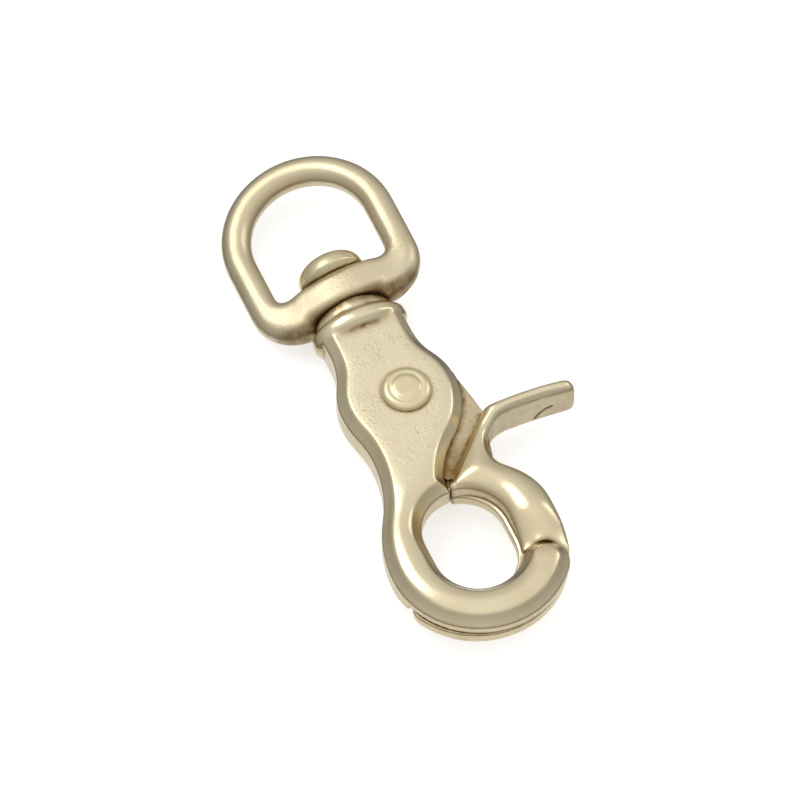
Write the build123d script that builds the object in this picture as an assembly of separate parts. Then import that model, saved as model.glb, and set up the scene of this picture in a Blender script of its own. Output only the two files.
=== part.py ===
"""Swivel trigger snap in cast brass, with scissor jaws that lap on a parting plane.

X runs across the snap, with the thumb lever on +X. Y is the swivel axis and runs from the hook to
the eye. Z points up through the front face, where the pivot rivet's head is. The origin is the
middle of the hook opening, on the parting plane. Lengths are in millimetres, angles in degrees.
"""
from build123d import *

import os
from math import cos, degrees, pi, radians, sin, sqrt, tan

# Castings in general
half_thickness = 2.6
overrun = 1.0

# Hook opening and the two half-jaws round it
opening_width = 9.3
opening_length = 11.9
jaw_width = 4.75
jaw_bevel = 1.05
lap_gap = 0.12
nose_angle = -36.0
nose_corner_angle = -34.0
nose_round = 1.5
nose_gap = 0.2
ramp_drop = 1.3
ramp_length = 3.4
tip_angle = 199.0
tip_gap = 0.3
closing_shift = 0.25
back_step = 0.45

# Pivot, and the outline of the cheeks and the stem as seen from it
pivot_x = 0.7
pivot_y = 18.0
cheek_half_width = 6.3
cheek_rise = 0.2
neck_half_width = 4.45
neck_rise = 7.4
waist_half_width = 5.55
waist_drop = 5.4
cheek_edge_out = 2.6
cheek_edge_drop = 6.3
gate_x = 0.2
gate_rise = 1.45

# Neck collar and shoulder under the eye
neck_length = 1.5
collar_half_width = 5.15
collar_half_depth = 3.6
collar_length = 2.1
collar_bevel = 0.6
shoulder_radius = 3.1
shoulder_length = 1.2

# Tongue of the trigger and the cored pocket for it
tongue_inset = 0.6
tongue_thickness = 2.4
tongue_clearance = 0.08
pocket_gap = 0.35
arm_out = 4.7
arm_drop = 4.5
arm_gap = 0.45

# Bar and thumb lever of the trigger
bar_bevel = 0.5
shoulder_gap = 1.6
shoulder_angle = 46.0
gate_gap = 0.35
swell_drop = 3.8
swell_round = 6.0
waist_out = 5.05
waist_height = 4.55
waist_round = 2.0
lever_drop = 4.55
lever_thickness = 1.5
lever_length = 16.8
lever_bend = 1.4
lever_inner_bend = 3.6
lever_round = 0.7
lever_corner = 1.3

# Pivot rivet
pivot_radius = 1.4
pivot_clearance = 0.06
pivot_head_radius = 2.5
pivot_head_height = 0.85
pivot_head_bevel = 0.5
pivot_tail_radius = 2.2
pivot_tail_height = 0.55
pivot_tail_bevel = 0.35

# Torsion spring in the tongue's recess
wire_radius = 0.225
wire_sides = 6
coil_radius = 2.3
coil_gap = 0.02
coil_turns = 2.25
recess_gap = 0.375
spring_play = 0.07
leg_over = 0.2
leg_turn = 180.0
leg_window_start = 66.0
leg_window_angle = 90.0

# Swivel eye
eye_width = 12.4
eye_tube = 3.1
eye_gap = 0.3
eye_foot_gap = 0.6
eye_foot_half_width = 3.9
eye_foot_round_share = 0.85
eye_seat_margin = 0.3
eye_base_length = 3.9
eye_bevel = 0.9
eye_corner = 0.9
eye_arch_rise = 5.9
eye_lean = 11.0
boss_half_width = 5.4
boss_half_depth = 2.8
boss_bevel = 0.6

# Swivel rivet
swivel_radius = 1.7
swivel_clearance = 0.08
swivel_depth = 3.0
swivel_seat_gap = 0.1
button_radius = 3.55
button_height = 2.2
button_bevel = 1.0

# Sizes and places that follow from those above
opening_radius = opening_width / 2
hook_radius = opening_radius + jaw_width
jaw_radius = opening_radius + jaw_width / 2
arc_drop = (opening_length - opening_width) / 2
nose_corner_radius = opening_radius + nose_round

gate_y = opening_length / 2 + gate_rise
neck_y = pivot_y + neck_rise
collar_y = neck_y + neck_length
collar_top = collar_y + collar_length
shoulder_top = collar_top + shoulder_length

tongue_radius = cheek_half_width - tongue_inset
tongue_half = tongue_thickness / 2
pocket_half_depth = tongue_half + tongue_clearance
pocket_radius = tongue_radius + pocket_gap

cheek_edge = (pivot_x + cheek_edge_out, pivot_y - cheek_edge_drop)
slope = tan(radians(shoulder_angle))
shoulder_x = cheek_edge[0] + shoulder_gap * sin(radians(shoulder_angle))
shoulder_y = cheek_edge[1] - shoulder_gap * cos(radians(shoulder_angle))
lever_top = pivot_y - lever_drop
lever_low = lever_top - lever_thickness
waist_x = pivot_x + waist_out
waist_y = lever_low - waist_height
bar_top = (shoulder_x + (lever_top - shoulder_y) / slope, lever_top)

coil_pitch = 2 * wire_radius + coil_gap
coil_height = coil_pitch * coil_turns
recess_radius = coil_radius + wire_radius + recess_gap
leg_reach = sqrt((tongue_radius + leg_over) ** 2 - coil_radius ** 2)
leg_drop = leg_reach * coil_pitch / (2 * pi * coil_radius)
coil_bottom = leg_drop + wire_radius + spring_play - pocket_half_depth
recess_top = coil_bottom + coil_height + wire_radius + spring_play

eye_underside_y = shoulder_top + eye_gap
eye_foot_y = collar_top + eye_foot_gap
eye_floor_y = eye_underside_y + eye_base_length
eye_arch_y = eye_floor_y + eye_arch_rise


def jaw_point(shift, radius, angle):
    """A point on the jaws' lower arc, whose centre may be shifted to the left."""
    return (radius * cos(radians(angle)) - shift, radius * sin(radians(angle)) - arc_drop)


def jaw_sector(shift, start, end, radius=hook_radius):
    """A pie slice of the jaws' lower arc between two angles."""
    centre = (-shift, -arc_drop)
    arc = CenterArc(centre, radius, start, end - start)
    return make_face([arc, Line(arc @ 1, centre), Line(centre, arc @ 0)])


def opening(shift):
    """The hook opening: a slot with round ends, along the swivel axis."""
    return Pos(-shift, 0) * SlotOverall(opening_length, opening_width, rotation=90)


def nose_plan(margin):
    """The blunt end of the front half-jaw, with a wide outer and a small inner corner."""
    wide = Pos(*jaw_point(0, jaw_radius, nose_angle)) * Circle(jaw_width / 2 + margin)
    corner = jaw_point(0, nose_corner_radius, nose_corner_angle)
    return make_hull(wide.edges() + (Pos(*corner) * Circle(nose_round + margin)).edges())


def bevelled_plate(plan, bottom, top, bevel, sharp):
    """A plate with its far rim bevelled, except at the edges with the given middles."""
    middles = [Vector(x, y, top) for x, y in sharp]
    plate = extrude(Pos(0, 0, bottom) * plan, top - bottom)
    rim = [edge for edge in plate.edges()
           if abs(edge.center().Z - top) < bevel / 2
           and all((edge.center() - middle).length > bevel for middle in middles)]
    return chamfer(rim, bevel)


def s_curve(start, end):
    """Two equal arcs from one upright tangent down to another."""
    middle = ((start[0] + end[0]) / 2, (start[1] + end[1]) / 2)
    upper = TangentArc(start, middle, tangent=(0, -1))
    return [upper, TangentArc(middle, end, tangent=upper % 1)]


def stem_plan():
    """Outline of the cheeks and the stem, down to the level where the jaw's arc starts."""
    neck_top = collar_y + collar_length / 2
    cheek_y = pivot_y + cheek_rise
    neck_left, neck_right = (-neck_half_width, neck_y), (neck_half_width, neck_y)
    cheek_left, cheek_right = (-cheek_half_width, cheek_y), (cheek_half_width, cheek_y)
    waist_left = (-waist_half_width, pivot_y - waist_drop)
    hook_left = (-hook_radius, -arc_drop)
    left = s_curve(neck_left, cheek_left) + s_curve(cheek_left, waist_left)
    left += s_curve(waist_left, hook_left)
    cheek = TangentArc(cheek_right, cheek_edge, tangent=(0, -1))
    gate = TangentArc(cheek_edge, (gate_x, gate_y), tangent=cheek % 1)
    foot = Polyline((gate_x, gate_y), (gate_x, -arc_drop), hook_left)
    head = Polyline(
        neck_right, (neck_half_width, neck_top), (-neck_half_width, neck_top), neck_left)
    right = s_curve(neck_right, cheek_right)
    return make_face([*left, *foot.edges(), gate, cheek, *right, *head.edges()])


def tongue_arm(margin, reach):
    """The tongue's arm, from the pivot to the bar, with a margin on its left."""
    return Polygon(
        (pivot_x, pivot_y),
        (pivot_x - arm_out - margin, pivot_y - arm_drop),
        (gate_x + gate_gap - margin, gate_y),
        (waist_x + reach, gate_y),
        (bar_top[0] + reach, bar_top[1]),
        (pivot_x + tongue_radius + reach, pivot_y),
        align=None,
    )


def pocket():
    """The cored space between the cheeks, open on the lever's side."""
    disc = Pos(pivot_x, pivot_y) * Cylinder(pocket_radius, 2 * pocket_half_depth)
    wedge = extrude(tongue_arm(arm_gap, cheek_half_width), pocket_half_depth, both=True)
    return disc + wedge


def hook_body():
    stem = stem_plan()
    front_plan = stem + jaw_sector(0, 180, 360 + nose_angle) + nose_plan(0) - opening(0)
    back_plan = stem + jaw_sector(0, 180, tip_angle) - opening(0)
    lap_end = jaw_point(0, jaw_radius, tip_angle)
    neck_top = (0, collar_y + collar_length / 2)
    body = bevelled_plate(front_plan, 0, half_thickness, jaw_bevel, [neck_top])
    body += bevelled_plate(back_plan, 0, -half_thickness, jaw_bevel, [neck_top, lap_end])
    lap_angle = tip_angle - degrees(tip_gap / jaw_radius)
    lap = jaw_sector(0, lap_angle, lap_angle + tip_angle - 180, hook_radius + overrun)
    body -= extrude(lap, -half_thickness - overrun)

    ring = extrude(Plane.XZ * Ellipse(collar_half_width, collar_half_depth), -collar_length)
    ring = chamfer(ring.edges(), collar_bevel)
    body += Pos(0, collar_y) * ring
    body += Pos(0, collar_top) * extrude(Plane.XZ * Circle(shoulder_radius), -shoulder_length)

    body -= pocket()
    body -= Pos(pivot_x, pivot_y) * Cylinder(pivot_radius, 2 * half_thickness + overrun)
    bore = extrude(Plane.XZ * Circle(swivel_radius), swivel_depth + overrun)
    body -= Pos(0, shoulder_top + overrun) * bore
    return body


def bar_plan():
    """Outline of the trigger's bar and thumb lever, above the level of the jaw's arc."""
    left = gate_x + gate_gap
    right = hook_radius - closing_shift
    foot = (left, -arc_drop)
    corner = (left, shoulder_y - (shoulder_x - left) * slope)
    outline = FilletPolyline(
        corner,
        bar_top,
        (lever_length, lever_top),
        (lever_length, lever_low),
        (waist_x, lever_low),
        (waist_x, waist_y),
        (right, waist_y - swell_drop),
        (right, -arc_drop),
        radius=[lever_bend, lever_round, lever_round, lever_inner_bend, waist_round, swell_round],
    )
    gate = Polyline(outline @ 1, foot, corner)
    return make_face([*outline.edges(), *gate.edges()])


def lever_corners():
    """What comes off the two corners of the lever's free end."""
    side = lever_corner + overrun
    corner = Rectangle(side, side, align=(Align.MIN, Align.MIN)) - Circle(lever_corner)
    corner = Pos(lever_length - lever_corner, half_thickness - lever_corner) * corner
    upper = extrude(Plane.XZ * corner, -lever_thickness - 2 * overrun)
    upper = Pos(0, lever_low - overrun) * upper
    return upper + mirror(upper, Plane.XY)


def nose_ramp():
    """A wedge off the bar's front, so that its face dips under the nose."""
    start = jaw_point(0, jaw_radius, nose_angle + degrees(jaw_width / 2 / jaw_radius))
    along = (-sin(radians(nose_angle / 2)), cos(radians(nose_angle / 2)), 0)
    side = Plane(origin=(*start, half_thickness), x_dir=along, z_dir=(along[1], -along[0], 0))
    wedge = Polygon(
        (-jaw_width, -ramp_drop), (0, -ramp_drop), (ramp_length, 0), (ramp_length, overrun),
        (-jaw_width, overrun), align=None)
    return extrude(side * wedge, jaw_width, both=True)


def trigger():
    shift = closing_shift
    bar = bar_plan()
    lap_end = 2 * nose_angle
    front_plan = bar + jaw_sector(shift, lap_end, 0) - opening(shift)
    back_plan = bar + jaw_sector(shift, tip_angle, 360) - opening(shift + back_step)
    front_end = jaw_point(shift, jaw_radius, lap_end)
    back_end = jaw_point(shift, jaw_radius, tip_angle)
    front = bevelled_plate(front_plan, -lap_gap, half_thickness, bar_bevel, [front_end])
    back = bevelled_plate(back_plan, -lap_gap, -half_thickness, bar_bevel, [back_end])

    corner_x, corner_y = jaw_point(0, nose_corner_radius, nose_corner_angle)
    seat_top = corner_y + nose_round + nose_gap
    seat = nose_plan(nose_gap) + Polygon(
        (corner_x, seat_top),
        (corner_x - jaw_width, seat_top),
        (corner_x - jaw_width, seat_top - jaw_width),
        (corner_x, seat_top - jaw_width),
        align=None,
    )
    seat += jaw_sector(0, lap_end + nose_angle, nose_angle, hook_radius + overrun)
    front -= extrude(Pos(0, 0, -lap_gap) * seat, half_thickness + overrun)
    front -= nose_ramp()

    piece = front + back - lever_corners()
    piece += Pos(pivot_x, pivot_y) * Cylinder(tongue_radius, tongue_thickness)
    piece += extrude(tongue_arm(0, 0), tongue_half, both=True)
    piece -= Pos(pivot_x, pivot_y) * Cylinder(pivot_radius + pivot_clearance, 2 * tongue_thickness)
    piece -= spring_recess()
    return piece


def spring_recess():
    """Recess for the coil, open to the back, with a window for the leg that bears on the body."""
    depth = recess_top + tongue_half
    level = Pos(pivot_x, pivot_y, -tongue_half - overrun)
    well = level * extrude(Circle(recess_radius), depth + overrun)
    arc = CenterArc((0, 0), tongue_radius + overrun, leg_window_start, leg_window_angle)
    window = make_face([arc, Line(arc @ 1, (0, 0)), Line((0, 0), arc @ 0)])
    well += level * extrude(window, depth + overrun)
    hook_turn = radians(leg_turn + 360 * coil_turns)
    hook = Pos(coil_radius * cos(hook_turn), coil_radius * sin(hook_turn)) * Circle(
        wire_radius + spring_play)
    well += level * extrude(hook, tongue_thickness + 2 * overrun)
    return well


def rivet_head(radius, height, bevel):
    """A pan head standing on Z = 0, bevelled at its rim."""
    head = extrude(Circle(radius), height)
    return chamfer(head.edges().group_by(Axis.Z)[-1], bevel)


def pivot_rivet():
    shank = Cylinder(pivot_radius, 2 * half_thickness)
    head = rivet_head(pivot_head_radius, pivot_head_height, pivot_head_bevel)
    tail = rivet_head(pivot_tail_radius, pivot_tail_height, pivot_tail_bevel)
    rivet = shank + Pos(0, 0, half_thickness) * head
    rivet += Pos(0, 0, -half_thickness) * Rot(180, 0, 0) * tail
    return Pos(pivot_x, pivot_y) * rivet


def torsion_spring():
    """Round wire wound about the pivot, one leg out to the body and one up into the tongue."""
    coil = Helix(coil_pitch, coil_height, coil_radius)
    start = Plane(coil @ 0, z_dir=coil % 0)
    wire = sweep(start * RegularPolygon(wire_radius, wire_sides), coil)
    wire += extrude(start * RegularPolygon(wire_radius, wire_sides), -leg_reach)
    hook_length = tongue_half - spring_play - coil_bottom - coil_height
    hook = extrude(RegularPolygon(wire_radius, wire_sides), hook_length)
    wire += Pos(*(coil @ 1)) * hook
    return Pos(pivot_x, pivot_y, coil_bottom) * Rot(0, 0, leg_turn) * wire


def swivel_eye():
    """A hoop on a straight base, which droops at its corners and swells about the rivet's bore."""
    outer = eye_width / 2 + eye_tube
    seat_half_width = shoulder_radius + eye_seat_margin
    crown = CenterArc((0, eye_arch_y), outer, 0, 180)
    left = FilletPolyline(
        crown @ 1,
        (-outer, eye_foot_y),
        (-eye_foot_half_width, eye_foot_y),
        (-seat_half_width, eye_underside_y),
        radius=[(outer - eye_foot_half_width) * eye_foot_round_share, 0],
    )
    right = mirror(left, Plane.YZ)
    seat = Line(left @ 1, (seat_half_width, eye_underside_y))
    window = Pos(0, eye_floor_y + eye_arch_rise / 2) * Rectangle(eye_width, eye_arch_rise)
    window = fillet(window.vertices().group_by(Axis.Y)[0], eye_corner)
    window += Pos(0, eye_arch_y) * Circle(eye_width / 2)
    plan = make_face([crown, *left.edges(), seat, *right.edges()]) - window
    eye = extrude(plan, eye_tube / 2, both=True)
    rim = [edge for edge in eye.edges() if abs(edge.center().Z) > eye_tube / 2 - eye_bevel]
    eye = chamfer(rim, eye_bevel)

    swell = extrude(Plane.XZ * Ellipse(boss_half_width, boss_half_depth), -eye_base_length)
    eye += Pos(0, eye_underside_y) * chamfer(swell.edges(), boss_bevel)
    bore = extrude(
        Plane.XZ * Circle(swivel_radius + swivel_clearance), -eye_base_length - 2 * overrun)
    eye -= Pos(0, eye_underside_y - overrun) * bore
    return Rot(0, -eye_lean, 0) * eye


def swivel_rivet():
    seat = eye_floor_y + swivel_seat_gap
    foot = shoulder_top - swivel_depth
    shank = extrude(Circle(swivel_radius), seat - foot)
    head = rivet_head(button_radius, button_height, button_bevel)
    rivet = shank + Pos(0, 0, seat - foot) * head
    return Pos(0, foot) * Rot(-90, 0, 0) * rivet


pieces = {
    "hook_body": hook_body,
    "trigger": trigger,
    "pivot_rivet": pivot_rivet,
    "torsion_spring": torsion_spring,
    "swivel_eye": swivel_eye,
    "swivel_rivet": swivel_rivet,
}
os.makedirs("parts", exist_ok=True)
for name, make in pieces.items():
    export_step(make(), f"parts/{name}.step")
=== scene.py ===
import math

import bmesh
import bpy
import numpy as np
from mathutils import Matrix, Vector
from mathutils.bvhtree import BVHTree
from mathutils.kdtree import KDTree


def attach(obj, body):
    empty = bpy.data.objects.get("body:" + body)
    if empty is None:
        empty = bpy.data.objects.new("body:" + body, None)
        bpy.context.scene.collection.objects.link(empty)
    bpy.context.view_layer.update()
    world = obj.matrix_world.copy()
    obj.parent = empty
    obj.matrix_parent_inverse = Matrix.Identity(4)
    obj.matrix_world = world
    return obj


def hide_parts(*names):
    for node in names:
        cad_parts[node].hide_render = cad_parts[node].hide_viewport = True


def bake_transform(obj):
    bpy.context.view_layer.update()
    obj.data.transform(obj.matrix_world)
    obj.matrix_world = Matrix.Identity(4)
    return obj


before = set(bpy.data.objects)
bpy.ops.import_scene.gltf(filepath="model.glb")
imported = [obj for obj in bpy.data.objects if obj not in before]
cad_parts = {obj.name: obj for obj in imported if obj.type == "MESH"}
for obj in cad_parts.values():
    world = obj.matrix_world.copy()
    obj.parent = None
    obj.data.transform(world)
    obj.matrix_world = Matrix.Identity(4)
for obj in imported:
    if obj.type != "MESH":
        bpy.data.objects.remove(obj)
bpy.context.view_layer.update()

MM = 0.001

# Camera, as the photograph was taken: from the hook's side and well above
VIEW_AZIMUTH = -24.2
VIEW_ELEVATION = 58.0
LOOK_AT_MM = (-1.67, 14.27, 7.71)
FRAME_WIDTH_MM = 80.8
LENS_MM = 600.0
SENSOR_MM = 36.0

# Castings: the grain of the skin and how often it is softened
SKIN_MM = {"hook_body": 0.136, "trigger": 0.115, "swivel_eye": 0.12}
SOFT_PASSES = {"hook_body": 12, "trigger": 14, "swivel_eye": 50}
WORN_PASSES = 70
SLOPE_PASSES = 240
CROWN_PASSES = 24
CROWN_POWER = 1.6
WELD_MM = 0.001

# Places of the solids that the looks refer to
PIVOT = (0.7, 18.0)
NOSE = (5.68, -5.43)
NOSE_SEAT_RADIUS = 2.575
GATE_X = 0.55
JAW_MIDDLE_Y = -1.3
JAW_RADIUS = 7.025
BACK_JAW_END = math.radians(-161.0)
CHEEK_Z = 2.6
COLLAR_TOP_Y = 29.0
COLLAR_HALF_WIDTH = 5.15
COLLAR_HALF_DEPTH = 3.6
SHOULDER_RADIUS = 3.1
EYE_LEAN = math.radians(11.0)
EYE_HALF_TUBE = 1.55
EYE_BOSS_HALF_DEPTH = 2.8
EYE_BOSS_HALF_WIDTH = 5.4
PIVOT_SHANK_RADIUS = 1.4
SWIVEL_SEAT_Y = 34.5
SWIVEL_FOOT_Y = 27.2

# Small changes of shape, in millimetres
GATE_SHIFT = 0.24
NOSE_SEAT_SHIFT = 0.22
LEVER_ROOT_X = 10.0
LEVER_LENGTH = 6.8
LEVER_DROOP = 0.55
JAW_END_LENGTH = 1.1
JAW_END_SHARE = 0.72
COLLAR_EDGE = 0.6
DOME_HEIGHT = 1.3
DOME_FOOT_RADIUS = 4.3
DOME_FOOT_MARGIN = 0.15
EYE_SWELL_REACH = 8.2
EYE_SWELL_FADE_Y = (34.6, 36.6)
SEAM_RADIUS = 2.45
SEAM_SHARPNESS = 0.7
NICK_PATH = ((12.3, -1.5), (12.6, -1.05), (13.0, -0.6), (13.5, -0.28), (14.1, -0.12))
NICK_HALF_WIDTHS = (0.04, 0.24)
NICK_DEPTH = 0.09
NO_GROOVE = {"Groove Radius": 9.0, "Groove Width": 1.0, "Groove Depth": 0.0}

# Wear and painted shade: how deep a hollow and how near a neighbour gathers tarnish and painted
# shade, and the painted shade of side walls
HOLLOW_PASSES = 30
HOLLOW_DEPTHS = (0.01, 0.14)
TOUCH_REACH = 0.55
SIDE_WALL_SHADE = 0.30

# Colours of the metals
PALE_BRASS = (0.81, 0.71, 0.485, 1)
DEEP_BRASS = (0.76, 0.65, 0.425, 1)
SANDY_BRASS = (0.82, 0.735, 0.53, 1)
# Brown of tarnish, also used as painted shade in hollows, in gaps by other pieces and on side walls
BRASS_TARNISH_AND_SHADE = (0.25, 0.15, 0.05, 1)
PALE_RIVET = (0.82, 0.72, 0.47, 1)
DEEP_RIVET = (0.76, 0.66, 0.41, 1)
# Brown of tarnish, also used as painted shadow round the rivet heads
RIVET_TARNISH_AND_SHADE = (0.22, 0.14, 0.055, 1)
BRIGHT_STEEL = (0.42, 0.42, 0.42, 1)
OILED_STEEL = (0.31, 0.30, 0.28, 1)

# Studio
FLOOR_Z = -3.6
FLOOR_HALF_WIDTH_M = 3.0
FLOOR_GREY = (0.80, 0.80, 0.80, 1)
FLOOR_GLOW = 0.55
ROOM_GREY = (0.75, 0.75, 0.75, 1)
WHITE = (1, 1, 1, 1)
LAMP_AIM_M = (0.0, 0.015, 0.0)


def set_camera():
    turn, rise = math.radians(VIEW_AZIMUTH), math.radians(VIEW_ELEVATION)
    level = math.cos(rise)
    back = Vector((math.sin(turn) * level, -math.cos(turn) * level, math.sin(rise)))
    lens = bpy.data.cameras.new("camera")
    lens.lens = LENS_MM
    lens.sensor_width = SENSOR_MM
    lens.clip_start = 0.01
    lens.clip_end = 20.0
    camera = bpy.data.objects.new("camera", lens)
    bpy.context.scene.collection.objects.link(camera)
    distance = FRAME_WIDTH_MM * MM * LENS_MM / SENSOR_MM
    camera.location = Vector(LOOK_AT_MM) * MM + back * distance
    camera.rotation_mode = "QUATERNION"
    camera.rotation_quaternion = (-back).to_track_quat("-Z", "Y")
    bpy.context.scene.camera = camera


class Wire:
    """A socket of a node tree. Sums on it add Math nodes, and node() adds any other node."""

    def __init__(self, tree, socket=None):
        self.tree = tree
        self.socket = socket

    def node(self, kind, settings=None, inputs=None, output=0):
        made = self.tree.nodes.new(kind)
        for name, value in (settings or {}).items():
            if name == "stops":
                ramp = made.color_ramp
                while len(ramp.elements) < len(value):
                    ramp.elements.new(1.0)
                for element, (position, colour) in zip(ramp.elements, value):
                    element.position = position
                    element.color = colour
            else:
                setattr(made, name, value)
        for name, value in (inputs or {}).items():
            for item in value if isinstance(value, list) else [value]:
                if isinstance(item, Wire):
                    self.tree.links.new(item.socket, made.inputs[name])
                else:
                    made.inputs[name].default_value = item
        return Wire(self.tree, made.outputs[output] if len(made.outputs) else None)

    def maths(self, operation, first, second=0.0, clamp=False):
        return self.node("ShaderNodeMath", {"operation": operation, "use_clamp": clamp},
                         {0: first, 1: second})

    def __add__(self, other):
        return self.maths("ADD", self, other)

    def __radd__(self, other):
        return self.maths("ADD", other, self)

    def __sub__(self, other):
        return self.maths("SUBTRACT", self, other)

    def __rsub__(self, other):
        return self.maths("SUBTRACT", other, self)

    def __mul__(self, other):
        return self.maths("MULTIPLY", self, other)

    def __rmul__(self, other):
        return self.maths("MULTIPLY", other, self)

    def __truediv__(self, other):
        return self.maths("DIVIDE", self, other)

    def __pow__(self, other):
        return self.maths("POWER", self, other)

    def __rpow__(self, other):
        return self.maths("POWER", other, self)

    def held(self):
        """The value, kept between 0 and 1."""
        return self.maths("ADD", self, 0.0, clamp=True)

    def between(self, low, high):
        """0 below low, 1 above high and a soft step from one to the other."""
        return self.node("ShaderNodeMapRange", {"interpolation_type": "SMOOTHSTEP"},
                         {"Value": self, "From Min": low, "From Max": high})

    def mixed(self, first, second):
        """The first colour where this value is 0 and the second where it is 1."""
        return self.node("ShaderNodeMix", {"data_type": "RGBA"}, {0: self, 6: first, 7: second}, 2)

    def noise(self, size_mm, detail=2.0, rough=0.5):
        """Cloudy noise on these coordinates, with features of about that size."""
        return self.node("ShaderNodeTexNoise", None, {
            "Vector": self, "Scale": 1.0 / (size_mm * MM), "Detail": detail, "Roughness": rough})

    def painted(self, name):
        """A value stored on the piece's own mesh."""
        return self.node("ShaderNodeAttribute", {"attribute_name": name}, None, "Fac")


def new_finish(name):
    """An empty material, and the wire from which its tree grows."""
    material = bpy.data.materials.new(name)
    material.use_nodes = True
    material.node_tree.nodes.clear()
    return material, Wire(material.node_tree)


def close_finish(tree, colour, roughness, height, bump_mm):
    """Ends a metal's tree with its shader and a fine relief of that depth."""
    bump = tree.node("ShaderNodeBump", None, {
        "Strength": 1.0, "Distance": bump_mm * MM, "Height": height})
    shader = tree.node("ShaderNodeBsdfPrincipled", None, {
        "Base Color": colour, "Metallic": 1.0, "Roughness": roughness, "Normal": bump})
    tree.node("ShaderNodeOutputMaterial", None, {"Surface": shader})


def cast_brass_finish():
    """Tumbled pale brass: smooth where it was rubbed, sandy elsewhere, brown with tarnish and
    painted shade in the hollows, by other pieces and on side walls.
    """
    material, tree = new_finish("cast_brass")
    place = tree.node("ShaderNodeTexCoord", None, None, "Object")
    cloud = place.noise(5.0, 3.0)
    speck = place.noise(0.8, 3.0, 0.6)
    grain = place.noise(0.21, 2.0, 0.6)
    patch = place.noise(2.8, 2.0).between(0.42, 0.62)
    # The hollows, the nearness of other pieces and the painted marks carry tarnish and painted
    # shade; the marks also hold the nick under the lever and the painted shade of side walls
    crevice = tree.painted("crevice")
    touch = tree.painted("touch")
    sand = tree.painted("sand")
    mark = tree.painted("mark")
    stain = speck.between(0.35, 0.75)
    pits = grain.between(0.57, 0.70) * sand * (0.2 + 0.8 * patch)
    marked_and_shaded = mark * (0.85 + 0.3 * stain)
    # Tarnish with painted shade: darker in hollows, near other pieces, on side walls, in the groove
    # by the bar and under the eye's base
    dirt_and_shade = crevice * (0.50 + 0.5 * stain) + touch * (0.42 + 0.35 * stain) + marked_and_shaded + 0.5 * pits
    dirt_and_shade = dirt_and_shade.held()
    colour = cloud.between(0.3, 0.7).mixed(PALE_BRASS, DEEP_BRASS)
    colour = (sand * (0.5 + 0.3 * stain)).held().mixed(colour, SANDY_BRASS)
    colour = dirt_and_shade.mixed(colour, BRASS_TARNISH_AND_SHADE)
    roughness = (0.16 + 0.20 * sand + 0.06 * cloud + 0.06 * speck + 0.15 * dirt_and_shade).held()
    height = grain * (0.20 + sand) * (0.5 + 0.5 * patch) + 0.3 * speck * (0.25 + sand)
    close_finish(tree, colour, roughness, height, 0.04)
    return material


def rivet_brass_finish():
    """Smooth yellow brass with a trace of tarnish and painted shadow round the heads."""
    material, tree = new_finish("rivet_brass")
    place = tree.node("ShaderNodeTexCoord", None, None, "Object")
    cloud = place.noise(1.6, 2.0)
    speck = place.noise(0.4, 3.0, 0.6)
    touch = tree.painted("touch")
    # Tarnish with painted shadow round the heads, where they sit close to the body or the eye
    dirt_and_shade = (touch * (0.35 + 0.6 * speck.between(0.35, 0.7))).held()
    colour = cloud.between(0.3, 0.7).mixed(PALE_RIVET, DEEP_RIVET)
    colour = dirt_and_shade.mixed(colour, RIVET_TARNISH_AND_SHADE)
    roughness = (0.22 + 0.08 * cloud + 0.05 * speck + 0.2 * dirt_and_shade).held()
    close_finish(tree, colour, roughness, speck, 0.008)
    return material


def spring_steel_finish():
    """Drawn steel wire with a thin film of oil."""
    material, tree = new_finish("spring_steel")
    place = tree.node("ShaderNodeTexCoord", None, None, "Object")
    cloud = place.noise(1.0, 2.0)
    speck = place.noise(0.15, 2.0)
    colour = cloud.between(0.3, 0.7).mixed(BRIGHT_STEEL, OILED_STEEL)
    roughness = (0.26 + 0.12 * cloud + 0.06 * speck).held()
    close_finish(tree, colour, roughness, speck, 0.004)
    return material


def vertex_values(mesh, field):
    values = np.empty(3 * len(mesh.vertices), np.float32)
    mesh.vertices.foreach_get(field, values)
    return values.reshape(-1, 3).astype(float)


def paint(mesh, name, values):
    mesh.attributes.new(name, "FLOAT", "POINT").data.foreach_set("value", values.astype(np.float32))


def set_places(mesh, places):
    mesh.vertices.foreach_set("co", places.astype(np.float32).ravel())
    mesh.update()


def soft_step(values, low, high):
    share = np.clip((values - low) / (high - low), 0, 1)
    return share * share * (3 - 2 * share)


def merged_copy(node):
    """A CAD node's mesh as one closed skin, in millimetres."""
    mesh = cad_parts[node].data.copy()
    work = bmesh.new()
    work.from_mesh(mesh)
    bmesh.ops.remove_doubles(work, verts=work.verts, dist=WELD_MM * MM)
    bmesh.ops.transform(work, matrix=Matrix.Scale(1 / MM, 4), verts=work.verts)
    work.to_mesh(mesh)
    work.free()
    mesh.materials.clear()
    return mesh


def baked(piece):
    """Turns a piece and its modifiers into a plain mesh."""
    graph = bpy.context.evaluated_depsgraph_get()
    mesh = bpy.data.meshes.new_from_object(piece.evaluated_get(graph), depsgraph=graph)
    piece.modifiers.clear()
    piece.data = mesh


def nose_distance(place):
    return np.hypot(place[:, 0] - NOSE[0], place[:, 1] - NOSE[1])


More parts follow.
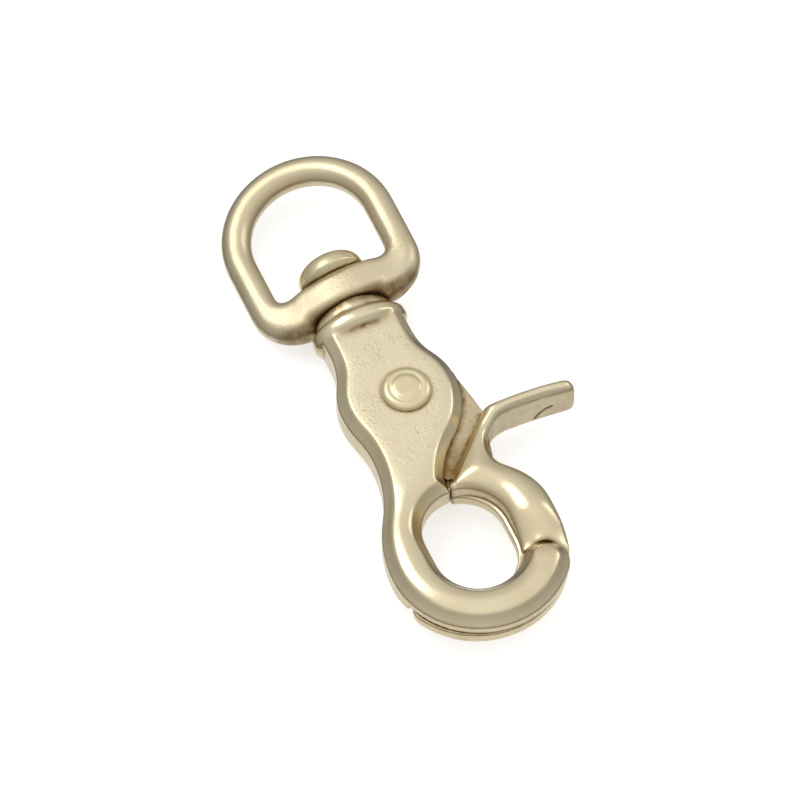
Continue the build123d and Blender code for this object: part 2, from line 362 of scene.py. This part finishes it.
def wall_points(node, place, normal):
    """The points of a casting's side walls, which its front and back faces round off towards."""
    x, y, z = place.T
    upright = np.abs(normal[:, 2]) < 0.45
    depth = np.abs(z)
    jaw = (y < 6.0) & (depth > 0.3) & (depth < 1.3)
    if node == "trigger":
        seat = (z > 0) & (np.abs(nose_distance(place) - NOSE_SEAT_RADIUS) < 0.3)
        return upright & (jaw | (depth > 1.35) & (depth < 2.0)) & ~seat
    stem = (y >= 6.0) & (y < 25.0) & (depth > 1.32) & (depth < 1.6)
    return upright & (jaw | stem) & (np.hypot(x - PIVOT[0], y - PIVOT[1]) > 2.0)


def averaged(mesh, values, passes):
    """The values of each point, evened out with those of its neighbours."""
    ends = np.empty(2 * len(mesh.edges), np.int32)
    mesh.edges.foreach_get("vertices", ends)
    first, second = ends.reshape(-1, 2).T
    count = len(mesh.vertices)
    neighbours = np.bincount(ends, minlength=count)
    columns = values.reshape(count, -1).T.copy()
    for _ in range(passes):
        for k, column in enumerate(columns):
            total = np.bincount(first, column[second], count)
            total += np.bincount(second, column[first], count)
            columns[k] = total / neighbours
    return columns.T.reshape(values.shape)


def crown_shape(node, place):
    """How far in from the wall a face is rounded, and what share of its height the wall loses."""
    x, y, z = place.T
    if node == "trigger":
        lever = soft_step(x, 6.6, 8.0) * soft_step(y, 9.0, 10.5)
        jaw = (x > 0.3) | (y < 6.5)
        slope = (z > 0) * (1 - soft_step(nose_distance(place), 3.0, 6.0))
        return 2.35 - 1.8 * lever, (0.36 - 0.24 * lever + 0.30 * slope) * jaw
    stem = soft_step(y, 5.0, 10.0)
    return 2.4 - 0.6 * stem, (0.37 - 0.20 * stem) * (1 - soft_step(y, 23.5, 25.0))


def crown(mesh, node):
    """Rounds the faces of a flat casting over, most of all on the jaws."""
    place = vertex_values(mesh, "co")
    walls = place[wall_points(node, place, vertex_values(mesh, "normal"))]
    reach, loss = crown_shape(node, place)
    fall = np.zeros(len(place))
    for front in (True, False):
        side = walls[(walls[:, 2] > 0) == front]
        tree = KDTree(len(side))
        for i, (x, y) in enumerate(side[:, :2]):
            tree.insert((x, y, 0), i)
        tree.balance()
        for i in np.flatnonzero((loss > 0) & ((place[:, 2] > 0) == front)):
            x, y = place[i, :2]
            far = tree.find((x, y, 0))[2]
            fall[i] = loss[i] * max(0.0, 1 - far / reach[i]) ** CROWN_POWER
    place[:, 2] *= 1 - averaged(mesh, fall, CROWN_PASSES)
    set_places(mesh, place)


def fit_trigger(mesh):
    """Brings the trigger close up to the body at the gate and the nose, rounds its jaw's end and
    lets its lever droop."""
    place = vertex_values(mesh, "co")
    normal = vertex_values(mesh, "normal")
    x, y, z = place.T.copy()
    gate = (normal[:, 0] < -0.5) & (np.abs(x - GATE_X) < 0.3) & (y > 4.8) & (y < 7.0)
    place[gate, 0] -= GATE_SHIFT
    far = nose_distance(place)
    towards = (np.array(NOSE) - place[:, :2]) / np.maximum(far, 0.1)[:, None]
    facing = (towards * normal[:, :2]).sum(1) > 0.3
    seat = (z > -0.2) & (np.abs(far - NOSE_SEAT_RADIUS) < 0.2) & facing
    place[seat, :2] += NOSE_SEAT_SHIFT * towards[seat]
    out = np.clip((x - LEVER_ROOT_X) / LEVER_LENGTH, 0, 1) * (y > 10.0)
    place[:, 1] -= LEVER_DROOP * out ** 2
    turn = np.arctan2(y - JAW_MIDDLE_Y, x)
    along = np.clip((turn - BACK_JAW_END) * JAW_RADIUS / JAW_END_LENGTH, 0, 1)
    end = (z < 0.2) & (x < 0) & (y < JAW_MIDDLE_Y) & (along < 1)
    squeeze = JAW_END_SHARE + (1 - JAW_END_SHARE) * np.sqrt(1 - (1 - along) ** 2)
    radius = JAW_RADIUS + (np.hypot(x, y - JAW_MIDDLE_Y) - JAW_RADIUS) * squeeze
    place[end, 0] = (radius * np.cos(turn))[end]
    place[end, 1] = (JAW_MIDDLE_Y + radius * np.sin(turn))[end]
    set_places(mesh, place)


def fit_neck(mesh):
    """Turns the straight shoulder above the collar into a low dome that fills up to the eye."""
    place = vertex_values(mesh, "co")
    x, y, z = place.T.copy()
    turn = np.arctan2(z, x)
    radius = np.hypot(x, z)
    oval = 1 / np.hypot(np.cos(turn) / COLLAR_HALF_WIDTH, np.sin(turn) / COLLAR_HALF_DEPTH)
    rim = oval - COLLAR_EDGE
    foot = np.clip(rim - DOME_FOOT_MARGIN, SHOULDER_RADIUS, DOME_FOOT_RADIUS)
    rise = np.clip((y - COLLAR_TOP_Y) / DOME_HEIGHT, 0, 1)
    dome = radius * (1 + (foot / SHOULDER_RADIUS - 1) * np.sqrt(1 - rise ** 2))
    room = np.maximum(rim - SHOULDER_RADIUS, 0.05)
    ledge = foot + (radius - SHOULDER_RADIUS) * np.clip((rim - foot) / room, 0, 1)
    new = np.where(radius < SHOULDER_RADIUS + 0.06, dome, np.where(radius < rim, ledge, radius))
    top = (y > COLLAR_TOP_Y - 0.1) & (radius > 2.0)
    place[top, 0] = (new * np.cos(turn))[top]
    place[top, 2] = (new * np.sin(turn))[top]
    set_places(mesh, place)


def fit_eye(mesh):
    """Spreads the swell at the middle of the eye's base evenly out to its corners."""
    place = vertex_values(mesh, "co")
    x, y, z = place.T.copy()
    across = x * math.cos(EYE_LEAN) + z * math.sin(EYE_LEAN)
    depth = z * math.cos(EYE_LEAN) - x * math.sin(EYE_LEAN)
    swell = EYE_BOSS_HALF_DEPTH * np.sqrt(1 - np.clip(across / EYE_BOSS_HALF_WIDTH, -1, 1) ** 2)
    given = np.maximum(EYE_HALF_TUBE, swell)
    middle = 1 - soft_step(np.abs(across), 0.0, EYE_SWELL_REACH)
    spread = EYE_HALF_TUBE + (EYE_BOSS_HALF_DEPTH - EYE_HALF_TUBE) * middle
    share = 1 - soft_step(y, *EYE_SWELL_FADE_Y)
    depth *= 1 + (spread / given - 1) * share
    place[:, 0] = across * math.cos(EYE_LEAN) - depth * math.sin(EYE_LEAN)
    place[:, 2] = across * math.sin(EYE_LEAN) + depth * math.cos(EYE_LEAN)
    set_places(mesh, place)


def slope_share(place):
    """1 on the trigger's slope up from the nose, which has no edges."""
    y, z = place[:, 1], place[:, 2]
    slope = soft_step(z, 0.05, 0.45) * soft_step(-y, -6.0, -3.5) * (1 - soft_step(-y, 3.2, 4.5))
    return slope * soft_step(nose_distance(place), NOSE_SEAT_RADIUS + 0.2, NOSE_SEAT_RADIUS + 0.9)


def worn_share(node, place):
    """1 where a casting is worn rounder: the trigger's lever and jaw, the body's step for it."""
    x, y, z = place.T
    if node == "hook_body":
        step = soft_step(-x, 6.8, 8.0) * soft_step(-z, 0.0, 0.4)
        return step * (1 - soft_step(np.abs(y + 3.9), 0.8, 1.6))
    if node == "swivel_eye":
        return np.zeros(len(place))
    lever = soft_step(x, 13.8, 15.5)
    end = soft_step(-x, 5.5, 7.5) * (1 - soft_step(y, 0.0, 2.0)) * soft_step(-z, 0.5, 1.2)
    root = soft_step(x, 4.0, 5.5) * (1 - soft_step(x, 9.0, 10.0)) * soft_step(y, 9.5, 11.0)
    root *= soft_step(np.abs(z), 1.4, 1.7)
    return np.maximum.reduce([lever, end, 0.5 * root])


def soften(piece, passes, shares):
    """Runs the skin together, as far as each point's share says."""
    group = piece.vertex_groups.new(name="shares")
    for i, share in enumerate(shares):
        if share > 0:
            group.add([i], share, "REPLACE")
    soft = piece.modifiers.new("soft", "SMOOTH")
    soft.factor = 0.5
    soft.iterations = passes
    soft.vertex_group = "shares"
    baked(piece)
    piece.vertex_groups.clear()


def casting(node, name):
    """The casting with its sharp edges and corners run together, as molten metal leaves them."""
    piece = bpy.data.objects.new(name, merged_copy(node))
    bpy.context.scene.collection.objects.link(piece)
    skin = piece.modifiers.new("skin", "REMESH")
    skin.mode = "VOXEL"
    skin.voxel_size = SKIN_MM[node]
    skin.use_smooth_shade = True
    baked(piece)
    fits = {"hook_body": fit_neck, "trigger": fit_trigger, "swivel_eye": fit_eye}
    fits[node](piece.data)
    if node != "swivel_eye":
        crown(piece.data, node)
    place = vertex_values(piece.data, "co")
    off_seam = soft_step(np.abs(nose_distance(place) - SEAM_RADIUS), 0.3, 0.7)
    seam = SEAM_SHARPNESS * (place[:, 2] > -0.3) * (1 - off_seam)
    soften(piece, SOFT_PASSES[node], 1 - seam)
    if node == "trigger":
        soften(piece, SLOPE_PASSES, slope_share(place))
    soften(piece, WORN_PASSES, worn_share(node, place))
    return piece


def hollows(mesh, passes):
    """How far each point lies below its softened surroundings, in millimetres."""
    place = vertex_values(mesh, "co")
    return ((averaged(mesh, place, passes) - place) * vertex_values(mesh, "normal")).sum(1)


def nearness(mesh, nodes, reach):
    """1 where a point touches one of those CAD nodes, and 0 further off than the reach."""
    place = vertex_values(mesh, "co")
    nearest = np.full(len(place), reach)
    for node in nodes:
        tree = BVHTree.FromBMesh(skins[node])
        for i, point in enumerate(place):
            found = tree.find_nearest(point, nearest[i])
            if found[3] is not None:
                nearest[i] = found[3]
    return 1 - soft_step(nearest, 0, reach)


def sandy(node, place, normal):
    """Where the casting keeps the grain of its mould: flat faces that no tumbling stone reached."""
    x, y, z = place.T
    flat = soft_step(np.abs(normal[:, 2]), 0.955, 0.995)
    wall = 1 - soft_step(np.abs(normal[:, 2]), 0.2, 0.6)
    inside = (1 - soft_step(np.hypot(x, y), 6.2, 7.0)) * wall
    if node == "hook_body":
        cheek = flat * soft_step(y, 5.0, 10.0) * (1 - soft_step(y, 25.6, 26.6))
        return np.maximum(cheek, 0.6 * inside)
    if node == "trigger":
        under = soft_step(x, 5.5, 7.0) * soft_step(y, 8.0, 9.0) * soft_step(-normal[:, 1], 0.3, 0.8)
        tongue = soft_step(-np.abs(z), -1.3, -1.1) * soft_step(y, 7.0, 8.0)
        return np.maximum(np.maximum(0.9 * under, 0.6 * tongue), 0.6 * inside)
    return 0.35 + 0.25 * soft_step(-y, -38.0, -35.0)


def casting_mark(piece):
    """A curved nick under the lever, left by the mould. Gives how much of it each point has."""
    mesh = piece.data
    place = vertex_values(mesh, "co")
    under = (vertex_values(mesh, "normal")[:, 1] < -0.7) & (place[:, 0] > 9.0)
    spots = np.array(NICK_PATH)
    found = np.zeros(len(place))
    for start, end in zip(spots[:-1], spots[1:]):
        along = end - start
        share = np.clip(((place[:, ::2] - start) @ along) / (along @ along), 0, 1)
        far = np.linalg.norm(place[:, ::2] - start - share[:, None] * along, axis=1)
        found = np.maximum(found, 1 - soft_step(far, *NICK_HALF_WIDTHS))
    found *= under
    place[:, 1] += NICK_DEPTH * found
    set_places(mesh, place)
    return found


def grime_and_shade(node, place, normal):
    """Old polish and soiling with painted shade: in the groove by the bar, round the neck and under
    the eye's base.
    """
    x, y, z = place.T
    if node == "trigger":
        tongue = soft_step(-np.abs(z), -1.5, -1.2) * soft_step(y, 6.0, 6.6) * (x < 7.5)
        return tongue * (0.34 + 0.50 * soft_step(-y, -12.5, -8.5))
    # Soiling with painted shade in the recess round the neck
    if node == "hook_body":
        return 0.8 * soft_step(y, 29.2, 29.9)
    return 0.15 + 0.60 * soft_step(-y, -32.0, -30.4) * soft_step(-normal[:, 1], 0.1, 0.7)


def wear(piece, node, others):
    """Paints on the mesh where it is hollow or near another piece, for tarnish and painted shade,
    where it is sandy and marked, and the painted shade of side walls.
    """
    mesh = piece.data
    nick = casting_mark(piece) if node == "trigger" else np.zeros(len(mesh.vertices))
    place = vertex_values(mesh, "co")
    normal = vertex_values(mesh, "normal")
    # Hollows and nearness to other pieces: tarnish with painted shade
    paint(mesh, "crevice", soft_step(hollows(mesh, HOLLOW_PASSES), *HOLLOW_DEPTHS))
    paint(mesh, "touch", nearness(mesh, others, TOUCH_REACH))
    paint(mesh, "sand", sandy(node, place, normal))
    # Painted shade: side walls are darker the more they face sideways
    sides = SIDE_WALL_SHADE * soft_step(1 - np.abs(normal[:, 2]), 0.12, 0.8)
    paint(mesh, "mark", np.maximum.reduce([0.8 * nick, grime_and_shade(node, place, normal), sides]))


def new_tree(name, sizes):
    """An empty geometry tree with named sizes. Gives it, its first wire and the sizes' wires."""
    group = bpy.data.node_groups.new(name, "GeometryNodeTree")
    group.interface.new_socket("Geometry", in_out="OUTPUT", socket_type="NodeSocketGeometry")
    for size in sizes:
        group.interface.new_socket(size, in_out="INPUT", socket_type="NodeSocketFloat")
    group.interface.new_socket("Finish", in_out="INPUT", socket_type="NodeSocketMaterial")
    given = group.nodes.new("NodeGroupInput")
    wires = {socket.name: Wire(group, socket) for socket in given.outputs if socket.name}
    return group, Wire(group), wires


def close_tree(tree, shapes, finish):
    """Ends a geometry tree: its shapes are welded together, smoothed and given their finish."""
    whole = tree.node("GeometryNodeJoinGeometry", None, {"Geometry": shapes})
    merged = tree.node("GeometryNodeMergeByDistance", None, {"Geometry": whole, "Distance": WELD_MM})
    smooth = tree.node("GeometryNodeSetShadeSmooth", None, {"Geometry": merged})
    real = tree.node("GeometryNodeRealizeInstances", None, {"Geometry": smooth})
    done = tree.node("GeometryNodeSetMaterial", None, {"Geometry": real, "Material": finish})
    tree.node("NodeGroupOutput", None, {"Geometry": done})


def rivet_tree():
    """A turned rivet: a head with a softly squared dome and a fine groove, and a shank below it."""
    group, tree, size = new_tree("turned_rivet", [
        "Head Radius", "Head Height", "Roundness", "Groove Radius", "Groove Width", "Groove Depth",
        "Shank Radius", "Shank Length"])
    rounds, rings = 96, 40
    grid = tree.node("GeometryNodeMeshGrid", None, {
        "Size X": 1.0, "Size Y": 1.0, "Vertices X": rounds + 1, "Vertices Y": rings + 1})
    spot = tree.node("GeometryNodeInputPosition")
    turn = (tree.node("ShaderNodeSeparateXYZ", None, {0: spot}, "X") + 0.5) * (2 * math.pi)
    fall = (tree.node("ShaderNodeSeparateXYZ", None, {0: spot}, "Y") + 0.5) * (math.pi / 2)
    radius = size["Head Radius"] * tree.maths("SINE", fall).held() ** size["Roundness"]
    height = size["Head Height"] * tree.maths("COSINE", fall).held() ** size["Roundness"]
    off = (radius - size["Groove Radius"]) / size["Groove Width"]
    height = height - size["Groove Depth"] * math.e ** (0.0 - off * off)
    outline = tree.node("ShaderNodeCombineXYZ", None, {
        "X": radius * tree.maths("COSINE", turn), "Y": radius * tree.maths("SINE", turn),
        "Z": height})
    dome = tree.node("GeometryNodeSetPosition", None, {"Geometry": grid, "Position": outline})
    seat = tree.node("GeometryNodeMeshCircle", {"fill_type": "NGON"}, {
        "Vertices": rounds, "Radius": size["Head Radius"]})
    shank = tree.node("GeometryNodeMeshCylinder", None, {
        "Vertices": rounds // 2, "Radius": size["Shank Radius"], "Depth": size["Shank Length"]})
    down = tree.node("ShaderNodeCombineXYZ", None, {"Z": size["Shank Length"] * -0.5})
    shank = tree.node("GeometryNodeTransform", None, {"Geometry": shank, "Translation": down})
    close_tree(tree, [dome, seat, shank], size["Finish"])
    return group


def spring_tree():
    """Round wire: a coil, a straight leg from its start and a short hook up from its end."""
    group, tree, size = new_tree("wound_spring", [
        "Coil Radius", "Coil Height", "Turns", "Wire Radius", "Leg Reach", "Leg Drop",
        "Hook Length"])
    coil = tree.node("GeometryNodeCurveSpiral", None, {
        "Resolution": 48, "Rotations": size["Turns"], "Start Radius": size["Coil Radius"],
        "End Radius": size["Coil Radius"], "Height": size["Coil Height"]})
    start = tree.node("ShaderNodeCombineXYZ", None, {"X": size["Coil Radius"]})
    leg_end = tree.node("ShaderNodeCombineXYZ", None, {
        "X": size["Coil Radius"], "Y": size["Leg Reach"] * -1.0, "Z": size["Leg Drop"] * -1.0})
    leg = tree.node("GeometryNodeCurvePrimitiveLine", None, {"Start": leg_end, "End": start})
    turn = size["Turns"] * (2 * math.pi)
    x, y = (size["Coil Radius"] * tree.maths(way, turn) for way in ("COSINE", "SINE"))
    hook_start = tree.node("ShaderNodeCombineXYZ", None, {"X": x, "Y": y, "Z": size["Coil Height"]})
    hook_end = tree.node("ShaderNodeCombineXYZ", None, {
        "X": x, "Y": y, "Z": size["Coil Height"] + size["Hook Length"]})
    hook = tree.node("GeometryNodeCurvePrimitiveLine", None, {"Start": hook_start, "End": hook_end})
    ring = tree.node("GeometryNodeCurvePrimitiveCircle", None, {
        "Resolution": 14, "Radius": size["Wire Radius"]})
    lines = tree.node("GeometryNodeJoinGeometry", None, {"Geometry": [coil, leg, hook]})
    wire = tree.node("GeometryNodeCurveToMesh", None, {
        "Curve": lines, "Profile Curve": ring, "Fill Caps": True})
    close_tree(tree, [wire], size["Finish"])
    return group


def grown(group, name, sizes, finish):
    """A piece that a geometry tree makes from named sizes, as a plain mesh."""
    piece = bpy.data.objects.new(name, bpy.data.meshes.new(name))
    bpy.context.scene.collection.objects.link(piece)
    maker = piece.modifiers.new("maker", "NODES")
    maker.node_group = group
    for socket in group.interface.items_tree:
        if socket.in_out == "INPUT":
            maker[socket.identifier] = finish if socket.name == "Finish" else sizes[socket.name]
    baked(piece)
    work = bmesh.new()
    work.from_mesh(piece.data)
    bmesh.ops.recalc_face_normals(work, faces=work.faces)
    work.to_mesh(piece.data)
    work.free()
    return piece


def joined(piece, other):
    """Adds the other piece's mesh to the piece and drops the other."""
    work = bmesh.new()
    work.from_mesh(piece.data)
    work.from_mesh(other.data)
    work.to_mesh(piece.data)
    work.free()
    bpy.data.objects.remove(other)


def place_piece(piece, node, finish):
    """Brings a piece made in millimetres to metres and puts it in the CAD node's stead."""
    piece.data.transform(Matrix.Scale(MM, 4))
    piece.data.materials.clear()
    piece.data.materials.append(finish)
    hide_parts(node)


def add_floor():
    material, tree = new_finish("pale_floor")
    seen = tree.node("ShaderNodeLightPath", None, None, "Is Camera Ray")
    plain = tree.node("ShaderNodeBsdfDiffuse", None, {"Color": FLOOR_GREY})
    glow = tree.node("ShaderNodeEmission", None, {"Color": WHITE, "Strength": FLOOR_GLOW * seen})
    both = tree.node("ShaderNodeAddShader", None, {0: plain, 1: glow})
    tree.node("ShaderNodeOutputMaterial", None, {"Surface": both})
    mesh = bpy.data.meshes.new("floor")
    size = FLOOR_HALF_WIDTH_M
    z = FLOOR_Z * MM
    corners = [(-size, -size, z), (size, -size, z), (size, size, z), (-size, size, z)]
    mesh.from_pydata(corners, [], [(0, 1, 2, 3)])
    mesh.materials.append(material)
    floor = bpy.data.objects.new("floor", mesh)
    bpy.context.scene.collection.objects.link(floor)
    floor.visible_glossy = False


def add_lamp(name, place, size, power):
    """A square soft box that looks at the middle of the snap."""
    light = bpy.data.lights.new(name, "AREA")
    light.shape = "SQUARE"
    light.size = size
    light.energy = power
    lamp = bpy.data.objects.new(name, light)
    bpy.context.scene.collection.objects.link(lamp)
    lamp.location = place
    lamp.rotation_mode = "QUATERNION"
    lamp.rotation_quaternion = (Vector(place) - Vector(LAMP_AIM_M)).to_track_quat("Z", "Y")


def add_studio():
    """A white room: bright above, greyer at the sides, a dark gap under the table's edge."""
    world = bpy.data.worlds.new("studio")
    bpy.context.scene.world = world
    world.use_nodes = True
    world.node_tree.nodes.clear()
    tree = Wire(world.node_tree)
    way = tree.node("ShaderNodeTexCoord", None, None, "Generated")
    height = tree.node("ShaderNodeSeparateXYZ", None, {0: way}, "Z")
    room = tree.node("ShaderNodeValToRGB", {"stops": [
        (0.0, (1.0, 1.0, 1.0, 1)),
        (0.185, (1.0, 1.0, 1.0, 1)),
        (0.21, (0.10, 0.10, 0.10, 1)),
        (0.265, (0.12, 0.12, 0.12, 1)),
        (0.34, (0.34, 0.34, 0.34, 1)),
        (0.43, (0.42, 0.42, 0.42, 1)),
        (0.55, (0.46, 0.46, 0.46, 1)),
        (0.80, (0.70, 0.70, 0.70, 1)),
        (0.93, (0.88, 0.88, 0.88, 1)),
        (1.0, (0.94, 0.94, 0.94, 1)),
    ]}, {"Fac": 0.5 + 0.5 * height})
    seen = tree.node("ShaderNodeLightPath", None, None, "Is Camera Ray")
    clear = tree.node("ShaderNodeLightPath", None, None, "Is Transmission Ray")
    shiny = tree.node("ShaderNodeLightPath", None, None, "Is Glossy Ray")
    colour = shiny.mixed(ROOM_GREY, room)
    colour = (seen + clear).held().mixed(colour, WHITE)
    light = tree.node("ShaderNodeBackground", None, {"Color": colour, "Strength": 1.0})
    tree.node("ShaderNodeOutputWorld", None, {"Surface": light})


bpy.context.scene.view_settings.view_transform = "Standard"
set_camera()
add_floor()
add_studio()
add_lamp("main_box", (-0.18, 0.29, 0.49), 0.30, 0.50)
add_lamp("side_box", (0.50, 0.10, 0.30), 0.25, 0.20)

cast_brass = cast_brass_finish()
rivet_brass = rivet_brass_finish()
spring_steel = spring_steel_finish()

skins = {}
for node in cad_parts:
    skins[node] = bmesh.new()
    skins[node].from_mesh(merged_copy(node))

castings = {
    "hook_body": ("body", ["trigger", "pivot_rivet", "swivel_eye", "swivel_rivet"]),
    "trigger": ("trigger", ["hook_body", "pivot_rivet"]),
    "swivel_eye": ("eye", ["hook_body", "swivel_rivet"]),
}
for node, (body, others) in castings.items():
    piece = casting(node, node + "_casting")
    wear(piece, node, others)
    place_piece(piece, node, cast_brass)
    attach(piece, body)

rivet = rivet_tree()
pivot = grown(rivet, "pivot_rivet_turned", {
    "Head Radius": 2.58, "Head Height": 0.85, "Roundness": 0.66,
    "Groove Radius": 1.62, "Groove Width": 0.26, "Groove Depth": 0.10,
    "Shank Radius": PIVOT_SHANK_RADIUS, "Shank Length": 2 * CHEEK_Z}, rivet_brass)
tail = grown(rivet, "pivot_rivet_tail", {
    "Head Radius": 2.2, "Head Height": 0.55, "Roundness": 0.6,
    "Groove Radius": 1.3, "Groove Width": 0.2, "Groove Depth": 0.04,
    "Shank Radius": PIVOT_SHANK_RADIUS, "Shank Length": CHEEK_Z}, rivet_brass)
pivot.data.transform(Matrix.Translation((*PIVOT, CHEEK_Z)))
tail.data.transform(Matrix.Translation((*PIVOT, -CHEEK_Z)) @ Matrix.Rotation(math.pi, 4, "X"))
joined(pivot, tail)
# Painted shadow and tarnish round the pivot rivet's heads where they sit on the body
paint(pivot.data, "touch", nearness(pivot.data, ["hook_body"], 0.3))
place_piece(pivot, "pivot_rivet", rivet_brass)
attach(pivot, "body")

button = grown(rivet, "swivel_rivet_turned", {
    "Head Radius": 3.55, "Head Height": 2.2, "Roundness": 0.6, **NO_GROOVE,
    "Shank Radius": 1.7, "Shank Length": SWIVEL_SEAT_Y - SWIVEL_FOOT_Y}, rivet_brass)
along_neck = Matrix.Rotation(-math.pi / 2, 4, "X")
button.data.transform(Matrix.Translation((0, SWIVEL_SEAT_Y, 0)) @ along_neck)
# Painted shadow and tarnish round the button where it sits on the eye
paint(button.data, "touch", nearness(button.data, ["swivel_eye"], 0.35))
place_piece(button, "swivel_rivet", rivet_brass)
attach(button, "body")

# The spring's leg lies along the body and its hook stands up into the trigger; the coil is built as
# it rests.
coil_low, coil_height = -0.808, 1.0575
spring = grown(spring_tree(), "torsion_spring_wire", {
    "Coil Radius": 2.3, "Coil Height": coil_height, "Turns": 2.25, "Wire Radius": 0.22,
    "Leg Reach": 5.43, "Leg Drop": 0.177, "Hook Length": 0.87}, spring_steel)
spring.data.transform(Matrix.Translation((*PIVOT, coil_low)) @ Matrix.Rotation(math.pi, 4, "Z"))
place_piece(spring, "torsion_spring", spring_steel)
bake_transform(spring)

for skin in skins.values():
    skin.free()
